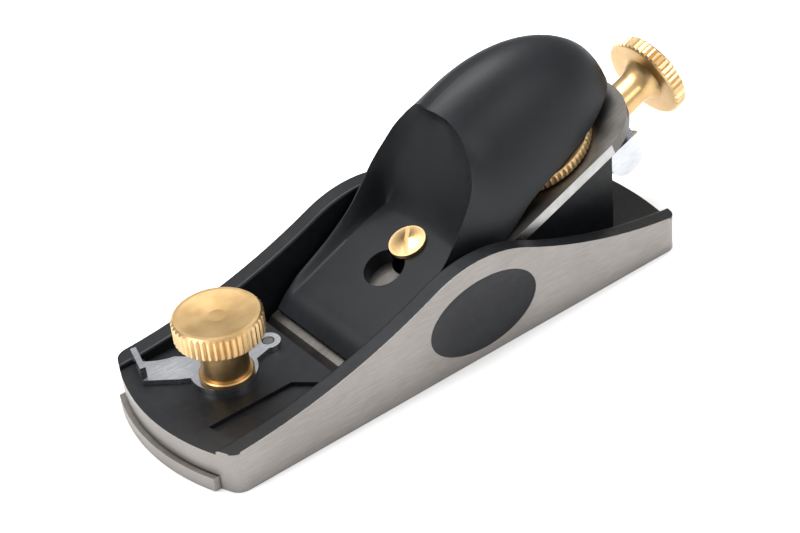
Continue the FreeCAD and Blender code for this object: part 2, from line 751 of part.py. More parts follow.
ring_centre = cam_point(0.5)
pad(lever, ring(lever, "lever_ring", "XY_Plane", ring_centre[0], ring_centre[1],
                z.lever_ring_radius), z.lever_thickness)
pad(lever, ring(lever, "lever_tail", "XY_Plane", 0.0, 0.0, z.lever_tail_radius), z.lever_thickness)
tail_half = z.lever_tail_radius * 0.72
tail_neck = outline(lever, "lever_neck", "XY_Plane", [
    (0.0, tail_half), (ring_centre[0] + 3.0, tail_half + 2.6), (ring_centre[0] + 3.0, -tail_half - 3.4),
    (0.0, -tail_half),
])
pad(lever, tail_neck, z.lever_thickness)
arm_tip_x = ring_centre[0] - 17.8
arm_tip_y = ring_centre[1] + 10.6
arm = outline(lever, "lever_arm", "XY_Plane", [
    (ring_centre[0] - 1.0, ring_centre[1] + 7.6), (ring_centre[0] - 6.5, ring_centre[1] + 13.4, 14.0),
    (arm_tip_x + 2.5, arm_tip_y + 9.0), (arm_tip_x, arm_tip_y),
    (ring_centre[0] - 10.6, ring_centre[1] + 4.4, 12.0), (ring_centre[0] - 4.5, ring_centre[1] - 3.0),
])
pad(lever, arm, z.lever_thickness)
finger = outline(lever, "lever_finger", "XY_Plane", [
    (arm_tip_x + 2.5, arm_tip_y + 9.0), (arm_tip_x, arm_tip_y),
    (arm_tip_x + 1.45, arm_tip_y - 0.4), (arm_tip_x + 3.95, arm_tip_y + 8.6),
])
pad(lever, finger, z.finger_height + z.lever_thickness)
cam_half = z.follower_radius + z.cam_gap


def cam_slot():
    """Two round ends and two sides, all following the post's path through the lever."""
    first, last = cam_point(0.0), cam_point(1.0)
    along = ((last[0] - first[0]), (last[1] - first[1]))
    length = root(along[0] * along[0] + along[1] * along[1])
    square = (-along[1] / length * cam_half, along[0] / length * cam_half)
    bow = cam_point(0.5)
    sides = outline(lever, "cam_slot", "XY_Plane", [
        (first[0] + square[0], first[1] + square[1]),
        (first[0] - square[0], first[1] - square[1]),
        (bow[0] - square[0], bow[1] - square[1]),
        (last[0] - square[0], last[1] - square[1]),
        (last[0] + square[0], last[1] + square[1]),
        (bow[0] + square[0], bow[1] + square[1]),
    ])
    pocket(lever, sides, z.lever_thickness * 2, reverse=True)
    for name, end in (("cam_start", first), ("cam_end", last)):
        pocket(lever, ring(lever, name, "XY_Plane", end[0], end[1], cam_half),
               z.lever_thickness * 2, reverse=True)


cam_slot()
tail_hole = ring(lever, "tail_hole", "XY_Plane", 0.0, 0.0, z.lever_pin_radius + z.run_gap)
pocket(lever, tail_hole, z.lever_thickness * 2, reverse=True)

# ---------------------------------------------------------------- blade

blade = piece("blade", on_bed=True)
blank = rectangle(blade, "blade_blank", "XY_Plane", (0.0, -z.blade_half_width),
                  (z.blade_length, z.blade_half_width))
pad(blade, blank, z.blade_thickness)
soften(blade, "Fillet", "blade_end", z.blade_corner,
       lambda edge: near(edge.BoundBox.XMin, z.blade_length) and edge.BoundBox.YLength < 0.01)
bevel_length = (z.blade_thickness - z.edge_land) / tangent(z.bevel_angle)
bevel = outline(blade, "blade_bevel", "XZ_Plane", [
    (-PLUNGE, z.edge_land), (0.0, z.edge_land), (bevel_length, z.blade_thickness),
    (bevel_length, z.blade_thickness + PLUNGE), (-PLUNGE, z.blade_thickness + PLUNGE),
])
pocket(blade, bevel, z.blade_half_width * 4, both_ways=True)
slot = rectangle(blade, "blade_slot", "XY_Plane",
                 (z.slot_start + z.slot_half_width, -z.slot_half_width),
                 (z.slot_end - z.slot_half_width, z.slot_half_width))
pocket(blade, slot, z.blade_thickness, reverse=True)
for name, place in (("slot_front", z.slot_start + z.slot_half_width),
                    ("slot_rear", z.slot_end - z.slot_half_width)):
    pocket(blade, ring(blade, name, "XY_Plane", place, 0.0, z.slot_half_width),
           z.blade_thickness, reverse=True)

# Cross grooves on the underside take the adjuster's tongue; the middle one stands over it.
GROOVES = 9
first_groove = z.slider_place - z.groove_pitch * ((GROOVES - 1) / 2)
groove = rectangle(blade, "blade_groove", "XY_Plane",
                   (first_groove - z.groove_width / 2, -z.groove_half_length),
                   (first_groove + z.groove_width / 2, z.groove_half_length))
groove_cut = pocket(blade, groove, z.groove_depth, reverse=True)
grooves = blade.newObject("PartDesign::LinearPattern", "blade_grooves")
grooves.Originals = [groove_cut]
grooves.Direction = (groove, ["H_Axis"])
bind(grooves, "Length", z.groove_pitch * (GROOVES - 1))
grooves.Occurrences = GROOVES
blade.Tip = grooves
doc.recompute()

# ---------------------------------------------------------------- lever cap

cap = piece("lever_cap", on_bed=True)
cap_side = outline(cap, "cap_side", "XZ_Plane", [
    (z.cap_nose, cap_underside), (z.cap_rear, cap_underside), (z.cap_rear, z.rib_rear + 1.5),
    (z.cap_rear - 6.5, z.rib_rear, -z.rib_sweep), (z.cap_nose, z.rib_front),
])
pad(cap, cap_side, z.cap_half_width * 2, both_ways=True)
soften(cap, "Fillet", "rib_rounding", z.rib_round, lambda edge: (
    near(edge.BoundBox.YMin, edge.BoundBox.YMax) and edge.BoundBox.ZMin > z.rib_front.value - 0.1
    and edge.BoundBox.XLength > 1.0))

# In plan the flanks draw in toward the hood.
taper_end = z.cap_rear + 1.0
for name, turn in (("near_flank_taper", -1), ("far_flank_taper", 1)):
    flank_plan = outline(cap, name, "XY_Plane", [
        (z.flank_taper, z.cap_half_width * turn), (taper_end, z.flank_rear_half_width * turn),
        (taper_end, (z.cap_half_width + 1.0) * turn),
        (z.flank_taper, (z.cap_half_width + 1.0) * turn),
    ])
    pocket(cap, flank_plan, as_size(CLEAR), both_ways=True)

# The hood is a dome of two half ellipsoids, longer ahead of the crown than behind it.
for name, turn, length in (("front_dome", 90, z.hood_front_length),
                           ("rear_dome", -90, z.hood_length)):
    dome = cap.newObject("PartDesign::AdditiveEllipsoid", name)
    dome.Placement = FreeCAD.Placement(FreeCAD.Vector(0, 0, 0), FreeCAD.Rotation(turn, 0, 0))
    dome.Angle3 = 180
    bind(dome, "Placement.Base.x", z.hood_centre)
    bind(dome, "Placement.Base.z", z.hood_edge - z.hood_drop)
    bind(dome, "Radius1", z.hood_height)
    bind(dome, "Radius2", z.hood_half_width)
    bind(dome, "Radius3", length)
    settle(dome)

# Below, the front lies on the blade and the hood's rim stands over the clamping wheel.
far = z.hood_centre + z.hood_length + PLUNGE
ahead = z.cap_nose - PLUNGE * 3
underside = outline(cap, "cap_underside", "XZ_Plane", [
    (ahead, -CLEAR), (far, -CLEAR), (far, z.hood_edge), (z.cap_rear, z.hood_edge),
    (z.cap_rear, cap_underside), (ahead, cap_underside),
])
pocket(cap, underside, as_size(CLEAR), both_ways=True)

# Above, a flat table between two ribs runs back into a scoop under the hood's arch.
table_drop = z.table_fall * (z.table_level - ahead) / (z.table_level - z.cap_nose)
table = outline(cap, "cap_table", "XZ_Plane", [
    (ahead, z.cap_table - table_drop), (z.table_level, z.cap_table),
    (z.table_rear, z.cap_table, -z.arch_sweep), (z.arch_place, z.arch_height),
    (z.arch_place, CLEAR), (ahead, CLEAR),
])
pocket(cap, table, z.table_half_width * 2, both_ways=True)
scoop_level = z.cap_table + z.scoop_height - z.face_gap * 2
ellipsoid(cap, "Subtractive", "cap_scoop", (z.scoop_place, 0.0, scoop_level),
          (z.scoop_length, z.scoop_half_width, z.scoop_height))
nose_edge = cap_underside + 1.7
nose_bevel = outline(cap, "nose_bevel", "XZ_Plane", [
    (ahead, nose_edge), (z.cap_nose, nose_edge), (z.cap_nose + 3.6, z.cap_table + 0.2),
    (z.cap_nose + 3.6, CLEAR), (ahead, CLEAR),
])
pocket(cap, nose_bevel, as_size(CLEAR), both_ways=True)

# Inside, the hood is hollow round a boss that holds the wheel's stud.
cavity_rear = z.hood_centre + z.hood_length - z.hood_wall
cavity_half = (cavity_rear - z.cavity_front) / 2
ellipsoid(cap, "Subtractive", "cap_cavity", (z.cavity_front + cavity_half, 0.0, z.hood_edge - z.hood_drop),
          (cavity_half, z.cavity_half_width, z.cavity_height))
boss_base = z.wheel_hub_top + z.slide_gap * 3
pad(cap, ring(cap, "stud_boss", "XY_Plane", z.wheel_place, 0.0, z.stud_boss_radius,
              offset=boss_base), z.cavity_height - 6.0)
stud_top = boss_base + z.stud_hold
pocket(cap, ring(cap, "stud_hole", "XY_Plane", z.wheel_place, 0.0, z.stud_radius,
                 offset=boss_base), z.stud_hold, reverse=True)

# The keyhole lets the cap drop over the cap screw's head and slide forward under it.
key_place = z.cap_screw_place - z.key_travel
key_half = z.cap_screw_radius + z.slide_gap * 2
pocket(cap, ring(cap, "key_hole", "XY_Plane", key_place, 0.0, z.key_hole_radius),
       z.cap_table + 1.0, reverse=True)
key_slot = rectangle(cap, "key_slot", "XY_Plane", (key_place, -key_half),
                     (z.cap_screw_place, key_half))
pocket(cap, key_slot, z.cap_table + 1.0, reverse=True)
pocket(cap, ring(cap, "key_end", "XY_Plane", z.cap_screw_place, 0.0, key_half),
       z.cap_table + 1.0, reverse=True)

# ---------------------------------------------------------------- lever cap screw and wheel


def screw_slot(body, name, reach, level, depth):
    """A driver slot across a screw head, turned by 45 degrees."""
    along = reach * math.sqrt(0.5)
    aside = z.screw_slot_width * (math.sqrt(0.5) / 2)
    slot_view = outline(body, name, "XY_Plane", [
        (-along - aside, -along + aside), (-along + aside, -along - aside),
        (along + aside, along - aside), (along - aside, along + aside),
    ], offset=level)
    pocket(body, slot_view, depth)


cap_screw = piece("lever_cap_screw", x=z.cap_screw_place, on_bed=True)
head_base = z.cap_table + z.face_gap
head_top = head_base + z.cap_screw_head_height
turned(cap_screw, "cap_screw_outline", [
    (0.0, -z.cap_screw_depth), (z.cap_screw_radius - 0.5, -z.cap_screw_depth),
    (z.cap_screw_radius, 0.5 - z.cap_screw_depth), (z.cap_screw_radius, head_base),
    (z.cap_screw_head, head_base), (z.cap_screw_head, head_top - 1.0, 14.0), (0.0, head_top),
])
screw_slot(cap_screw, "cap_screw_slot", z.cap_screw_head, head_top + 0.1, 1.1)

wheel = piece("cap_wheel", x=z.wheel_place, on_bed=True)
wheel_top = z.hood_edge - z.slide_gap
wheel_low = cap_underside + 0.45
stud_foot = cap_underside + 2.0
wheel_bore = z.stud_radius + z.run_gap
turned(wheel, "wheel_outline", [
    (0.0, cap_underside), (4.6, cap_underside), (5.2, wheel_low), (z.wheel_radius - 0.5, wheel_low),
    (z.wheel_radius, wheel_low + 0.5), (z.wheel_radius, wheel_top - 0.5),
    (z.wheel_radius - 0.5, wheel_top), (z.wheel_hub_radius, wheel_top),
    (z.wheel_hub_radius, z.wheel_hub_top - 0.4), (z.wheel_hub_radius - 0.4, z.wheel_hub_top),
    (wheel_bore, z.wheel_hub_top), (wheel_bore, stud_foot - 0.2), (0.0, stud_foot - 0.2),
])
knurl(wheel, "wheel_knurl", z.wheel_radius, wheel_low - 0.1, wheel_top + 0.1)

stud = piece("cap_wheel_stud", x=z.wheel_place, on_bed=True)
turned(stud, "stud_outline", [
    (0.0, stud_foot), (z.stud_radius - 0.5, stud_foot), (z.stud_radius, stud_foot + 0.5),
    (z.stud_radius, stud_top), (0.0, stud_top),
])

# ---------------------------------------------------------------- lateral lever

# A stamped bar in the trough, with an ear turned up to hold the depth screw and a thumb tab
# turned down behind the pillar.
lateral = piece("lateral_lever", on_bed=True)
lateral_floor = -(z.lateral_drop + z.lateral_thickness)
ear_rear = z.ear_front + z.ear_thickness
bar_end = ear_rear + 0.5
pad(lateral, ring(lateral, "bar_eye", "XY_Plane", z.lateral_pivot_place, 0.0,
                  z.lateral_half_width, offset=lateral_floor), z.lateral_thickness)
pad(lateral, rectangle(lateral, "bar", "XY_Plane", (z.lateral_pivot_place, -z.lateral_half_width),
                       (bar_end, z.lateral_half_width), offset=lateral_floor),
    z.lateral_thickness)
tab_chord = z.tab_radius * 0.84
pad(lateral, rectangle(lateral, "bar_wing", "XY_Plane", (z.tab_place - tab_chord, -z.tab_side),
                       (bar_end, 0.0), offset=lateral_floor), z.lateral_thickness)
pad(lateral, outline(lateral, "ear", "YZ_Plane", [
    (-z.ear_half_width, lateral_floor), (z.ear_half_width, lateral_floor),
    (z.ear_half_width, -z.screw_drop + 2.0), (z.ear_half_width - 2.8, -z.screw_drop + 5.6),
    (2.8 - z.ear_half_width, -z.screw_drop + 5.6), (-z.ear_half_width, -z.screw_drop + 2.0),
], offset=z.ear_front), z.ear_thickness)
tab_inner = z.tab_side - z.lateral_thickness
pad(lateral, ring(lateral, "thumb_tab", "XZ_Plane", z.tab_place, -z.tab_drop, z.tab_radius,
                  offset=tab_inner), z.lateral_thickness)
tab_trim = rectangle(lateral, "tab_trim", "XZ_Plane",
                     (z.tab_place - z.tab_radius * 2, -z.lateral_drop),
                     (z.tab_place + z.tab_radius * 2, -z.lateral_drop + z.tab_radius),
                     offset=tab_inner)
pocket(lateral, tab_trim, z.lateral_thickness + 0.5, reverse=True)
bush_bore = ring(lateral, "bush_hole", "YZ_Plane", 0.0, -z.screw_drop, z.bush_radius,
                 offset=z.ear_front - 0.5)
pocket(lateral, bush_bore, z.ear_thickness + 1.0, reverse=True)
eye_hole = ring(lateral, "eye_hole", "XY_Plane", z.lateral_pivot_place, 0.0,
                z.lateral_pivot_radius + z.run_gap, offset=lateral_floor)
pocket(lateral, eye_hole, z.lateral_thickness, reverse=True)

pivot_screw = piece("lateral_pivot_screw", x=z.lateral_pivot_place, on_bed=True)
pivot_foot = 0.1 - trough_depth - lateral_hole_depth
pivot_head = z.face_gap - z.lateral_drop
turned(pivot_screw, "pivot_screw_outline", [
    (0.0, pivot_foot), (z.lateral_pivot_radius, pivot_foot), (z.lateral_pivot_radius, pivot_head),
    (z.lateral_pivot_radius + 1.6, pivot_head), (z.lateral_pivot_radius + 1.6, pivot_head + 0.8, 9.0),
    (0.0, pivot_head + 1.5),
])
screw_slot(pivot_screw, "pivot_screw_slot", z.lateral_pivot_radius + 1.6, pivot_head + 1.6, 0.8)

# ---------------------------------------------------------------- depth adjuster

# Everything on the depth screw is drawn from its axis, which runs along the bed.
rod_bore = z.rod_radius + z.run_gap
bush = piece("ear_bush", level=-z.screw_drop, on_bed=True)
bush_end = ear_rear + 0.8
turned(bush, "bush_outline", [
    (z.ear_front, rod_bore), (z.ear_front, z.bush_radius), (ear_rear, z.bush_radius),
    (ear_rear, z.bush_radius + 1.2), (bush_end, z.bush_radius + 1.2), (bush_end, rod_bore),
], along_x=True)

washer = piece("thrust_washer", level=-z.screw_drop, on_bed=True)
washer_front = z.neck_front - z.face_gap - z.washer_thickness
turned(washer, "washer_outline", [
    (washer_front, rod_bore), (washer_front, z.depth_neck_radius + 0.4),
    (z.neck_front - z.face_gap, z.depth_neck_radius + 0.4), (z.neck_front - z.face_gap, rod_bore),
], along_x=True)

clip = piece("rod_clip", level=-z.screw_drop, on_bed=True)
clip_rear = z.ear_front - z.face_gap
turned(clip, "clip_outline", [
    (clip_rear - 0.8, z.rod_radius), (clip_rear - 0.8, z.rod_radius + 1.8),
    (clip_rear, z.rod_radius + 1.8), (clip_rear, z.rod_radius),
], along_x=True)

rod = piece("depth_rod", level=-z.screw_drop, on_bed=True)
rod_end = z.knob_front + 1.0
turned(rod, "rod_outline", [
    (z.rod_front, 0.0), (z.rod_front, z.rod_radius - 0.6), (z.rod_front + 0.6, z.rod_radius),
    (rod_end, z.rod_radius), (rod_end, 0.0),
], along_x=True)

depth_knob = piece("depth_knob", level=-z.screw_drop, on_bed=True)
knob_rear = z.knob_front + z.depth_knob_width
turned(depth_knob, "depth_knob_outline", [
    (z.neck_front, z.rod_radius), (z.neck_front, z.depth_neck_radius - 0.4),
    (z.neck_front + 0.4, z.depth_neck_radius), (z.knob_front - 4.2, z.depth_neck_radius, -6.5),
    (z.knob_front, z.depth_neck_radius + 2.4), (z.knob_front, z.depth_knob_radius - 0.7),
    (z.knob_front + 0.7, z.depth_knob_radius), (knob_rear - 0.7, z.depth_knob_radius),
    (knob_rear, z.depth_knob_radius - 0.7), (knob_rear, z.depth_knob_radius - 2.2),
    (knob_rear - 0.6, z.depth_knob_radius - 3.0), (knob_rear - 0.6, 0.0), (rod_end, 0.0),
    (rod_end, z.rod_radius),
], along_x=True)
knurl(depth_knob, "depth_knob_knurl", z.depth_knob_radius, z.knob_front - 0.1, knob_rear + 0.1,
      along_x=True)

slider = piece("depth_slider", x=z.slider_place, level=-z.screw_drop, on_bed=True)
slider_half = z.slider_length / 2
slider_top = z.screw_drop - 1.0
slider_low = -(z.lateral_drop - z.screw_drop - 0.9)
pad(slider, rectangle(slider, "slider_block", "XZ_Plane", (-slider_half, slider_low),
                      (slider_half, slider_top)), z.slider_half_width * 2, both_ways=True)
pocket(slider, ring(slider, "slider_bore", "YZ_Plane", 0.0, 0.0, rod_bore),
       z.slider_length + 1.0, both_ways=True)
tongue_half = z.slider_half_width - 0.6
tongue_foot = slider_top - 2.0
pocket(slider, rectangle(slider, "tongue_seat", "XZ_Plane",
                         (-z.tongue_thickness / 2, tongue_foot),
                         (z.tongue_thickness / 2, slider_top + 1.0)),
       tongue_half * 2, both_ways=True)

tongue = piece("slider_tongue", x=z.slider_place, level=-z.screw_drop, on_bed=True)
pad(tongue, rectangle(tongue, "tongue_side", "XZ_Plane", (-z.tongue_thickness / 2, tongue_foot),
                      (z.tongue_thickness / 2, z.screw_drop + z.groove_depth - 0.2)),
    tongue_half * 2, both_ways=True)

# ---------------------------------------------------------------- checks and export

doc.recompute()
for item in doc.Objects:
    if "Invalid" in item.State or "Error" in item.State:
        raise RuntimeError("%s did not recompute" % item.Name)
for body in pieces:
    shape = body.Shape
    if shape.isNull() or not shape.isValid() or len(shape.Solids) != 1:
        raise RuntimeError("%s is not one valid solid" % body.Label)
os.makedirs("parts", exist_ok=True)
for body in pieces:
    body.Shape.exportStep("parts/%s.step" % body.Label)
    print("%-22s %9.1f mm3" % (body.Label, body.Shape.Volume))
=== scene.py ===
import math

import bmesh
import bpy
from mathutils import Matrix, Vector


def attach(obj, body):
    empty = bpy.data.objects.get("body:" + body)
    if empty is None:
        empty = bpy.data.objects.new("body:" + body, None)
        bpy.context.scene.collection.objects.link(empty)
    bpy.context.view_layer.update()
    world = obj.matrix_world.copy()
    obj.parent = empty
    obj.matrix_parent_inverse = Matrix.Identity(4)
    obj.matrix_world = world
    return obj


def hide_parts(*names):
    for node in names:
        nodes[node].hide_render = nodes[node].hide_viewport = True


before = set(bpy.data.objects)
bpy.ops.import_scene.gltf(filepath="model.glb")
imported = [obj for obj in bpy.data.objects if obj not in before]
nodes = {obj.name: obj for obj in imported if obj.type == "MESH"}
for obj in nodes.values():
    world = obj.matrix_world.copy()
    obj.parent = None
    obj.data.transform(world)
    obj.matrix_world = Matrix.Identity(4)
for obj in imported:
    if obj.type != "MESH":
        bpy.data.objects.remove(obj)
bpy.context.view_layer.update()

# ---------------------------------------------------------------- floor, light and camera
# A plain pale table top under a white studio tent. The plane stands on its ground sole, a
# little proud of the table so that the two flat faces don't share a level.


class Wire:
    """A shader socket that can be used in arithmetic, each step being one Math node."""

    def __init__(self, tree, socket):
        self.tree = tree
        self.socket = socket

    def node(self, kind, settings=None, values=None, out=0):
        """Adds any node: its settings first, then its input values or links."""
        made = self.tree.nodes.new(kind)
        for name, setting in (settings or {}).items():
            setattr(made, name, setting)
        for name, value in (values or {}).items():
            if isinstance(value, Wire):
                self.tree.links.new(value.socket, made.inputs[name])
            else:
                made.inputs[name].default_value = value
        return Wire(self.tree, made.outputs[out])

    def math(self, operation, *others, clamp=False):
        values = {i + 1: other for i, other in enumerate(others)}
        values[0] = self
        return self.node("ShaderNodeMath", {"operation": operation, "use_clamp": clamp}, values)

    def __add__(self, other):
        return self.math("ADD", other)

    def __sub__(self, other):
        return self.math("SUBTRACT", other)

    def __mul__(self, other):
        return self.math("MULTIPLY", other)

    def __truediv__(self, other):
        return self.math("DIVIDE", other)

    def __rsub__(self, other):
        return self.math("MULTIPLY", -1.0) + other

    def ramp(self, low, high):
        """0 below low, 1 above high and straight between."""
        return self.node(
            "ShaderNodeMapRange", {"clamp": True}, {"Value": self, "From Min": low, "From Max": high}
        )

    def mix(self, first, second):
        """A colour between two colours, this socket being the share of the second."""
        return self.node(
            "ShaderNodeMix",
            {"data_type": "RGBA"},
            {"Factor": self, 6: first, 7: second},
            out=2,
        )


def finish(name):
    """A material with its principled shader, and its place in metres as three sockets and a vector."""
    material = bpy.data.materials.new(name)
    material.use_nodes = True
    tree = material.node_tree
    shader = tree.nodes["Principled BSDF"]
    place = Wire(tree, None).node("ShaderNodeTexCoord", out="Object")
    across = [place.node("ShaderNodeSeparateXYZ", None, {0: place}, out=n) for n in range(3)]
    return material, shader, place, across


def feed(shader, **inputs):
    """Links or sets the shader's inputs, each named with _ for a space."""
    tree = shader.id_data
    for name, value in inputs.items():
        socket = shader.inputs[name.replace("_", " ")]
        if isinstance(value, Wire):
            tree.links.new(value.socket, socket)
        else:
            socket.default_value = value


TABLE_REACH = 3.0
TABLE_DROP = 0.0001

table_mesh = bpy.data.meshes.new("table")
table_shape = bmesh.new()
bmesh.ops.create_grid(table_shape, x_segments=1, y_segments=1, size=TABLE_REACH)
bmesh.ops.translate(table_shape, verts=table_shape.verts, vec=(0, 0, -TABLE_DROP))
table_shape.to_mesh(table_mesh)
table_shape.free()
table = bpy.data.objects.new("table", table_mesh)
bpy.context.scene.collection.objects.link(table)
paper, shader, *_ = finish("table_paper")
feed(shader, Base_Color=(0.93, 0.93, 0.935, 1), Roughness=0.9)
table_mesh.materials.append(paper)

# The tent glows more from above than from the sides, and least from under the table.
world = bpy.data.worlds.new("tent")
world.use_nodes = True
sky = Wire(world.node_tree, None).node("ShaderNodeTexCoord", out="Generated")
sky_height = sky.node("ShaderNodeSeparateXYZ", None, {0: sky}, out=2)
feed(world.node_tree.nodes["Background"], Strength=sky_height.ramp(0.0, 0.75) * 0.60 + 0.20)
world.node_tree.nodes["Background"].inputs["Color"].default_value = (1, 1, 1, 1)
bpy.context.scene.world = world


PLANE_MIDDLE = Vector((0.0, 0.0, 0.02))


def soft_box(name, place, wide, high, power):
    """A soft lamp that is aimed at the middle of the plane."""
    lamp = bpy.data.lights.new(name, "AREA")
    lamp.shape = "RECTANGLE"
    lamp.size = wide
    lamp.size_y = high
    lamp.energy = power
    box = bpy.data.objects.new(name, lamp)
    bpy.context.scene.collection.objects.link(box)
    box.location = place
    box.rotation_euler = (PLANE_MIDDLE - Vector(place)).to_track_quat("-Z", "Y").to_euler()


soft_box("top_box", (0.05, 0.15, 0.75), 0.7, 0.5, 8.5)
soft_box("left_box", (-0.70, 0.05, 0.40), 0.35, 0.5, 2.6)
soft_box("front_box", (0.35, -0.75, 0.45), 0.6, 0.3, 2.2)

# The camera stands off the toe on the near side and looks down, rolled a little.
CAMERA_PLACE = (-0.22181, -0.31917, 0.28818)
turn, rise, roll = (math.radians(angle) for angle in (-34.59, 34.95, -6.11))
back = Vector((math.sin(turn) * math.cos(rise), -math.cos(turn) * math.cos(rise), math.sin(rise)))
right = Vector((math.cos(turn), math.sin(turn), 0.0))
up = back.cross(right)
side = right * math.cos(roll) + up * math.sin(roll)
top = up * math.cos(roll) - right * math.sin(roll)
lens = bpy.data.cameras.new("camera")
lens.lens = 80.5
lens.sensor_width = 36.0
lens.clip_start = 0.01
camera = bpy.data.objects.new("camera", lens)
bpy.context.scene.collection.objects.link(camera)
turned = Matrix((side, top, back)).transposed()
camera.matrix_world = Matrix.Translation(CAMERA_PLACE) @ turned.to_4x4()
bpy.context.scene.camera = camera
bpy.context.scene.view_settings.view_transform = "Standard"

# ---------------------------------------------------------------- body casting
# Grey iron casting, black enamelled inside and on its tops and finger hollows; the sole, the
# cheeks and the rounded toe and heel faces are ground bright after the enamel has been baked.

ENAMEL = (0.0045, 0.0050, 0.0062, 1)
ENAMEL_WORN = (0.0095, 0.0105, 0.0125, 1)
IRON_DARK = (0.205, 0.190, 0.176, 1)
IRON_LIGHT = (0.29, 0.272, 0.256, 1)

CHEEK = 0.0275
CORNER_ROUND = 0.004
HOLLOW_MIDDLE_X, HOLLOW_MIDDLE_Z = 0.0040, 0.01345
HOLLOW_HALF_LENGTH, HOLLOW_HALF_HEIGHT = 0.0177, 0.01085
TOE_CENTRE, TOE_RADIUS, TOE_DECK = -0.0205, 0.0600, 0.0119
HEEL_CENTRE, HEEL_RADIUS, HEEL_DECK = -0.0148, 0.0920, 0.0102


def grain(place, scale, detail=3.0, rough=0.55):
    return place.node(
        "ShaderNodeTexNoise",
        None,
        {"Vector": place, "Scale": scale, "Detail": detail, "Roughness": rough},
    )


def stretched(place, x, y, z):
    return place.node(
        "ShaderNodeVectorMath", {"operation": "MULTIPLY"}, {0: place, 1: (x, y, z)}
    )


def relief(height, distance, strength=1.0):
    return height.node(
        "ShaderNodeBump", None, {"Height": height, "Distance": distance, "Strength": strength}
    )


cast, shader, place, (x, y, z) = finish("cast_body")
aside = y.math("ABSOLUTE")
near_corner = aside.ramp(CHEEK - CORNER_ROUND - 0.00005, CHEEK - CORNER_ROUND)


def ground_end(centre, radius, deck, ahead):
    """Where the rounded end and its two corners are ground; ahead is -1 at the toe, 1 at the heel."""
    away = x - centre
    arc = (away * away + y * y).math("SQRT")
    this_end = (x * ahead).ramp(0.03, 0.031)
    face = arc.ramp(radius - 0.00008, radius - 0.00003)
    corner = near_corner * arc.ramp(radius - CORNER_ROUND, radius - CORNER_ROUND + 0.0001)
    under_deck = (deck - z).ramp(0.0, 0.0001)
    return (face * this_end).math("MAXIMUM", corner * this_end * under_deck)


on_cheek = aside.ramp(CHEEK - 0.00014, CHEEK - 0.00008)
hollow_x = (x - HOLLOW_MIDDLE_X) / HOLLOW_HALF_LENGTH
hollow_z = (z - HOLLOW_MIDDLE_Z) / HOLLOW_HALF_HEIGHT
outside_hollow = (hollow_x * hollow_x + hollow_z * hollow_z).math("SQRT").ramp(0.994, 1.0)
on_toe = ground_end(TOE_CENTRE, TOE_RADIUS, TOE_DECK, -1.0)
on_heel = ground_end(HEEL_CENTRE, HEEL_RADIUS, HEEL_DECK, 1.0)
on_sole = (z * -1.0).ramp(-0.00006, -0.00003)
ground = on_cheek * outside_hollow
for face in (on_toe, on_heel, on_sole):
    ground = ground.math("MAXIMUM", face)
scratches = grain(stretched(place, 260.0, 3000.0, 3600.0), 1.0, 2.0)
mottle = grain(place, 55.0, 4.0)
pits = grain(place, 900.0, 2.0)
bright = (scratches * 0.6 + mottle * 0.4).ramp(0.3, 0.7).mix(IRON_DARK, IRON_LIGHT)
cast_grain = grain(place, 420.0, 4.0)
painted = (mottle * 0.5 + cast_grain * 0.5).ramp(0.42, 0.7).mix(ENAMEL, ENAMEL_WORN)
height = ground * scratches * 0.25 + (1.0 - ground) * (cast_grain * 0.9 + mottle * 0.6)
feed(
    shader,
    Base_Color=ground.mix(painted, bright),
    Metallic=ground,
    IOR=1.33,
    Roughness=ground * (scratches * 0.16 + 0.30) + (1.0 - ground) * (pits * 0.16 + 0.32),
    Normal=relief(height, 0.00022, 0.35),
)
nodes["body_casting"].material_slots[0].material = cast

# ---------------------------------------------------------------- toe plate
# The sliding front of the sole: an iron plate that opens and closes the mouth. It is surface
# ground underneath and on its rounded front, and the knob's post is screwed into it.

plate_iron, shader, place, across = finish("ground_iron")
scratches = grain(stretched(place, 260.0, 2600.0, 3600.0), 1.0, 2.0)
mottle = grain(place, 60.0, 4.0)
feed(
    shader,
    Base_Color=(scratches * 0.5 + mottle * 0.5).ramp(0.3, 0.7).mix(IRON_DARK, IRON_LIGHT),
    Metallic=1.0,
    Roughness=scratches * 0.18 + 0.30,
    Normal=relief(scratches, 0.00006, 0.3),
)
nodes["toe_plate"].material_slots[0].material = plate_iron

# ---------------------------------------------------------------- toe post and toe knob
# Turned steel post, screwed into the toe plate, and the brass knob that clamps it. The knob has
# fine turning rings on its dished top, and knurled teeth whose flutes are painted darker than
# their tips, as painted shade.

BRASS_DEEP = (0.53, 0.345, 0.15, 1)
BRASS_PALE = (0.78, 0.56, 0.30, 1)
TOE_KNOB_MIDDLE = (-0.0576, 0.0, 0.02)
TOE_KNOB_RADIUS = 0.0116


